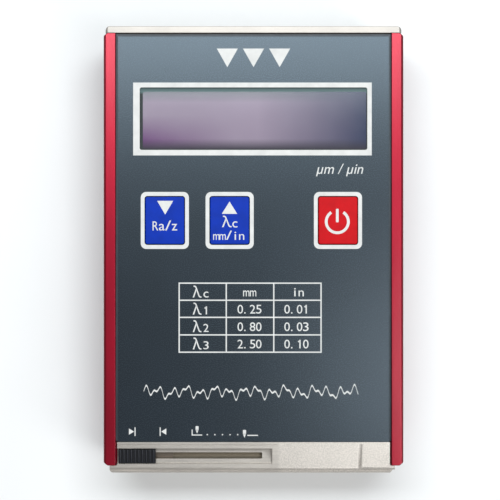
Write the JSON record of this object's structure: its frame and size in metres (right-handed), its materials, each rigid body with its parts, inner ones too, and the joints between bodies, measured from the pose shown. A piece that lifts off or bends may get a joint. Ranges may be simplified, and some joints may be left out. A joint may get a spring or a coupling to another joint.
{
  "type": "surface roughness tester",
  "caption": "Pocket surface roughness tester: red extruded case, silver end caps, display and keys, and a slider that uncovers a traversing stylus pick-up.",
  "frame": {"origin": "middle of the back face that the tester lies on", "axes": "+Z out of the front panel, +Y towards the display end, +X to the right seen from the front"},
  "size_m": [0.071, 0.106, 0.0242],
  "materials": {
    "red_anodised": "satin anodised",
    "satin_silver": "fine blasted",
    "slate_overlay": "satin printed film",
    "black_plastic": "moulded",
    "knob_plastic": "moulded, ridged",
    "display_glass": "polished",
    "display_panel": "glossy",
    "blue_key": "satin",
    "red_key": "satin",
    "white_print": "printed ink",
    "bright_steel": "turned",
    "shutter_steel": "rolled sheet",
    "bronze": "turned",
    "circuit_board": "solder mask",
    "flat_cable": "film",
    "battery_foil": "pouch foil",
    "foam_pad": "foam",
    "ruby": "polished",
    "piezo_ceramic": "ceramic",
    "diamond": "ground"
  },
  "bodies": {
    "case": {"case_channel": "red_anodised", "front_plate": "black_plastic", "overlay": "slate_overlay", "display_window": "display_glass", "oled_panel": "display_panel", "oled_board": "circuit_board", "display_link": "flat_cable", "main_board": "circuit_board", "board_chips": "black_plastic", "board_screws": "bright_steel", "buzzer": "black_plastic", "switch_bodies": "black_plastic", "battery": "battery_foil", "battery_pad": "foam_pad", "charge_board": "circuit_board", "charge_socket": "bright_steel", "top_cap": "satin_silver", "top_screws": "bright_steel", "bottom_cap": "satin_silver", "bottom_screws": "bright_steel", "drive_frame": "satin_silver", "frame_screws": "bright_steel", "front_guide_rod": "bright_steel", "rear_guide_rod": "bright_steel", "screw_bush": "bronze", "gearbox": "bronze", "motor": "bright_steel", "limit_switches": "black_plastic"},
    "slider": {"slider_knob": "knob_plastic", "shutter": "shutter_steel"},
    "down_key": {"key_down": "blue_key", "plunger_down": "black_plastic"},
    "up_key": {"key_up": "blue_key", "plunger_up": "black_plastic"},
    "power_key": {"key_power": "red_key", "plunger_power": "black_plastic"},
    "screw": {"lead_screw": "bright_steel"},
    "carriage": {"carriage": "satin_silver", "drive_nut": "bronze", "pivot_pin": "bright_steel", "arm_spring": "bright_steel"},
    "pickup": {"pickup_arm": "bright_steel", "skid": "ruby", "lever_pin": "bright_steel", "piezo_element": "piezo_ceramic"},
    "stylus": {"stylus_lever": "bright_steel", "stylus_tip": "diamond"}
  },
  "joints": [
    {"name": "shutter_slide", "type": "slide", "parent": "case", "child": "slider", "axis": [1, 0, 0], "range_m": [0, 0.0274]},
    {"name": "down_key_press", "type": "slide", "parent": "case", "child": "down_key", "axis": [0, 0, -1], "range_m": [0, 0.0003], "stiffness_N_per_m": 500},
    {"name": "up_key_press", "type": "slide", "parent": "case", "child": "up_key", "axis": [0, 0, -1], "range_m": [0, 0.0003], "stiffness_N_per_m": 500},
    {"name": "power_key_press", "type": "slide", "parent": "case", "child": "power_key", "axis": [0, 0, -1], "range_m": [0, 0.0003], "stiffness_N_per_m": 500},
    {"name": "screw_spin", "type": "hinge", "parent": "case", "child": "screw", "pos_m": [-0.005, -0.036, 0.01], "axis": [1, 0, 0], "range_deg": [0, 1080]},
    {"name": "carriage_slide", "type": "slide", "parent": "case", "child": "carriage", "axis": [1, 0, 0], "range_m": [0, 0.006]},
    {"name": "pickup_lower", "type": "hinge", "parent": "carriage", "child": "pickup", "pos_m": [-0.008, -0.0458, 0.0115], "axis": [0, 0, 1], "range_deg": [0, 9.1]},
    {"name": "stylus_tilt", "type": "hinge", "parent": "pickup", "child": "stylus", "pos_m": [-0.014, -0.0458, 0.0115], "axis": [0, 0, 1], "range_deg": [-1.2, 1.2], "stiffness_Nm_per_rad": 0.0005}
  ],
  "couplings": [
    {"joint": "screw_spin", "follows": "carriage_slide", "rad_per_m": 3141.6},
    {"joint": "pickup_lower", "follows": "shutter_slide", "rad_per_m": 5.796}
  ]
}
